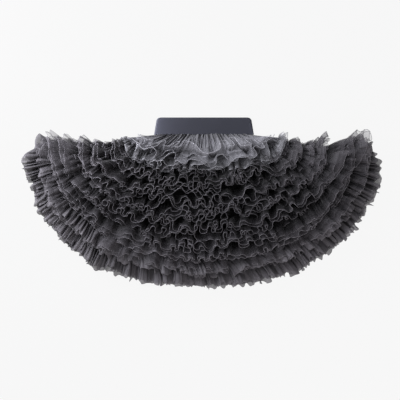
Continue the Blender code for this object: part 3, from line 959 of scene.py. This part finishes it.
def tulle_material(name, colour, alpha, painted_root_shade=None):
    """Tulle: a fine net in bump and colour, slow changes of tone, and painted shade at its root and in deep
    rows.
    """
    material, shader = new_material(name, colour, TULLE_ROUGHNESS, TULLE_SHEEN, alpha, TULLE_GLOSS)
    place = object_place(material)
    net_inputs = {"Scale": NET_SCALE, "Vector": place}
    net_node = add_node(material, "ShaderNodeTexVoronoi", net_inputs, feature="DISTANCE_TO_EDGE")
    net = net_node.outputs["Distance"]
    cloud_inputs = {"Scale": CLOUD_SCALE, "Detail": CLOUD_DETAIL, "Vector": place}
    cloud = add_node(material, "ShaderNodeTexNoise", cloud_inputs).outputs["Fac"]
    shade = product(material, map_range(material, net, NET_TONES), map_range(material, cloud, CLOUD_TONES))
    # Painted shade: darker towards the root and in deep rows.
    if painted_root_shade:
        painted_shade = add_node(material, "ShaderNodeAttribute", {}, attribute_name="painted_shade").outputs["Fac"]
        root_shade = map_range(material, painted_shade, {"From Max": LIT_FROM, "To Min": painted_root_shade})
        shade = product(material, shade, root_shade)
    finish_cloth(material, shader, colour, shade, net, NET_BUMP)
    return material


def ruffle_materials(name, colour, painted_root_shade, edge_name, edge_colour, alphas=ROW_ALPHAS, edge_painted_shade=None):
    """A ruffle's cloth from root to free edge, sheerer where fewer gathers overlap, and its edge, which is
    lighter on the rows as a painted highlight.
    """
    cloth = []
    for number, alpha in enumerate(alphas):
        cloth.append(tulle_material(f"{name} {number + 1}", colour, alpha, painted_root_shade))
    cloth.append(tulle_material(edge_name, edge_colour, EDGE_ALPHA, edge_painted_shade))
    return cloth


def satin_material():
    """The waistband's satin: fine upright ribs, a soft sheen, slight changes of tone and painted highlights
    on its ends.
    """
    material, shader = new_material("satin", SATIN, SATIN_ROUGHNESS, SATIN_SHEEN, specular=SATIN_GLOSS)
    place = object_place(material)
    rib_settings = {"wave_type": "BANDS", "bands_direction": "X"}
    ribs = add_node(material, "ShaderNodeTexWave", {"Vector": place, **RIBS}, **rib_settings)
    cloud = add_node(material, "ShaderNodeTexNoise", {"Scale": SATIN_CLOUD_SCALE, "Vector": place})
    across = add_node(material, "ShaderNodeSeparateXYZ", {"Vector": place})
    half = BAND_SEAM_WIDTH / 2
    from_left = map_range(material, across.outputs["X"], {"From Min": -half, "From Max": half})
    # Painted light: the band is lighter towards its rounded ends and at the lit left end.
    tone = add_node(material, "ShaderNodeFloatCurve", {"Value": from_left})
    spots = tone.mapping.curves[0].points
    for spot, location in zip(spots, SATIN_END_HIGHLIGHTS):
        spot.location = location
    for location in SATIN_HIGHLIGHT_SPOTS:
        spots.new(*location)
    tone.mapping.update()
    shade = product(material, map_range(material, cloud.outputs["Fac"], SATIN_TONES), tone.outputs["Value"])
    finish_cloth(material, shader, SATIN, shade, ribs.outputs["Fac"], RIB_BUMP)
    return material


def add_floor():
    """A plain pale floor that glows a little, so that it stays white where the skirt is well lit."""
    mesh = bpy.data.meshes.new("floor")
    corners = [(x * FLOOR_HALF, y * FLOOR_HALF, 0) for x, y in ((-1, -1), (1, -1), (1, 1), (-1, 1))]
    mesh.from_pydata(corners, [], [(0, 1, 2, 3)])
    material, shader = new_material("floor", FLOOR, FLOOR_ROUGHNESS, specular=0.0)
    shader.inputs["Emission Color"].default_value = WHITE
    shader.inputs["Emission Strength"].default_value = FLOOR_GLOW
    mesh.materials.append(material)
    floor = bpy.data.objects.new("floor", mesh)
    floor.location.z = -FLOOR_GAP
    bpy.context.scene.collection.objects.link(floor)


def aim(thing):
    """Turns a light towards the skirt's middle."""
    x, y, z = (-value for value in thing.location)
    pitch = math.atan2(z, math.hypot(x, y)) + math.pi / 2
    thing.rotation_euler = (pitch, 0, math.atan2(y, x) - math.pi / 2)


def add_light(name, kind, location, power, size, colour):
    """A light aimed at the skirt."""
    light = bpy.data.lights.new(name, kind)
    light.energy = power
    light.color = colour
    if kind == "SUN":
        light.angle = size
    else:
        light.shape = "DISK"
        light.size = size
    lamp = bpy.data.objects.new(name, light)
    lamp.location = location
    aim(lamp)
    bpy.context.scene.collection.objects.link(lamp)


def add_world():
    """A white surround that is dimmer as a light than it looks."""
    world = bpy.data.worlds.new("studio")
    bpy.context.scene.world = world
    world.use_nodes = True
    background = world.node_tree.nodes["Background"]
    background.inputs["Color"].default_value = WHITE
    seen = add_node(world, "ShaderNodeLightPath", {}).outputs["Is Camera Ray"]
    strength = map_range(world, seen, {"To Min": SURROUND_LIGHT, "To Max": SURROUND_LOOK})
    world.node_tree.links.new(strength, background.inputs["Strength"])


def add_camera():
    """The camera, which looks straight down."""
    camera = bpy.data.cameras.new("camera")
    camera.sensor_width = SENSOR_MM
    camera.lens = SENSOR_MM * CAMERA_DISTANCE / FRAME_WIDTH
    holder = bpy.data.objects.new("camera", camera)
    holder.location = (*VIEW_CENTRE, CAMERA_DISTANCE + FRAMED_HEIGHT)
    bpy.context.scene.collection.objects.link(holder)
    bpy.context.scene.camera = holder


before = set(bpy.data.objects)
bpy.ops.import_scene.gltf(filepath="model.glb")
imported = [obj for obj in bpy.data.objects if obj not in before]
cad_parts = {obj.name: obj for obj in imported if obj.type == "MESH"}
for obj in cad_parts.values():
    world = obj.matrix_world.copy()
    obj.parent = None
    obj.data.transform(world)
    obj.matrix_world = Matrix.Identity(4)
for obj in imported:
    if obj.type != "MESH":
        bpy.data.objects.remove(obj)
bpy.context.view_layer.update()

scene = bpy.context.scene
scene.view_settings.view_transform = "Standard"
scene.view_settings.look = "None"
scene.cycles.transparent_max_bounces = 40
scene.cycles.max_bounces = 6
scene.cycles.diffuse_bounces = 3

row_cloth = ruffle_materials("tulle", TULLE, ROW_ROOT_SHADE, "tulle edge", TULLE_EDGE_HIGHLIGHT, edge_painted_shade=ROW_ROOT_SHADE)
# The frills and the first row take lighter copies of the row tulle: painted light where they face up.
frill_cloth = ruffle_materials("frill tulle", FRILL_TULLE_LIT, FRILL_ROOT_SHADE, "frill edge", FRILL_TULLE_LIT)
first_cloth = ruffle_materials("first tulle", FIRST_TULLE_LIT, FIRST_ROOT_SHADE, "first edge", FIRST_TULLE_LIT)
rim_cloth = ruffle_materials("rim tulle", RIM_TULLE, RIM_ROOT_SHADE, "rim edge", RIM_EDGE_HIGHLIGHT, RIM_ALPHAS)

waistband([satin_material()])
# The yoke's tulle is painted a little lighter: painted light where it faces up.
yoke([tulle_material("yoke cloth", YOKE_TULLE_LIT, EDGE_ALPHA)])
yoke_frills(frill_cloth)
# The panels are painted near black: painted shadow under the ruffles
skirt_panel([tulle_material("base cloth", TULLE_PAINTED_SHADOW, 1.0)])
back_panel([tulle_material("back cloth", TULLE_PAINTED_SHADOW, 1.0)])
underside_ruffles(row_cloth)
front_ruffles(row_cloth, first_cloth, rim_cloth)
back_ruffles(rim_cloth)

add_floor()
add_world()
for row in LIGHTS:
    add_light(**dict(zip(LIGHT_COLUMNS, row)))
add_camera()
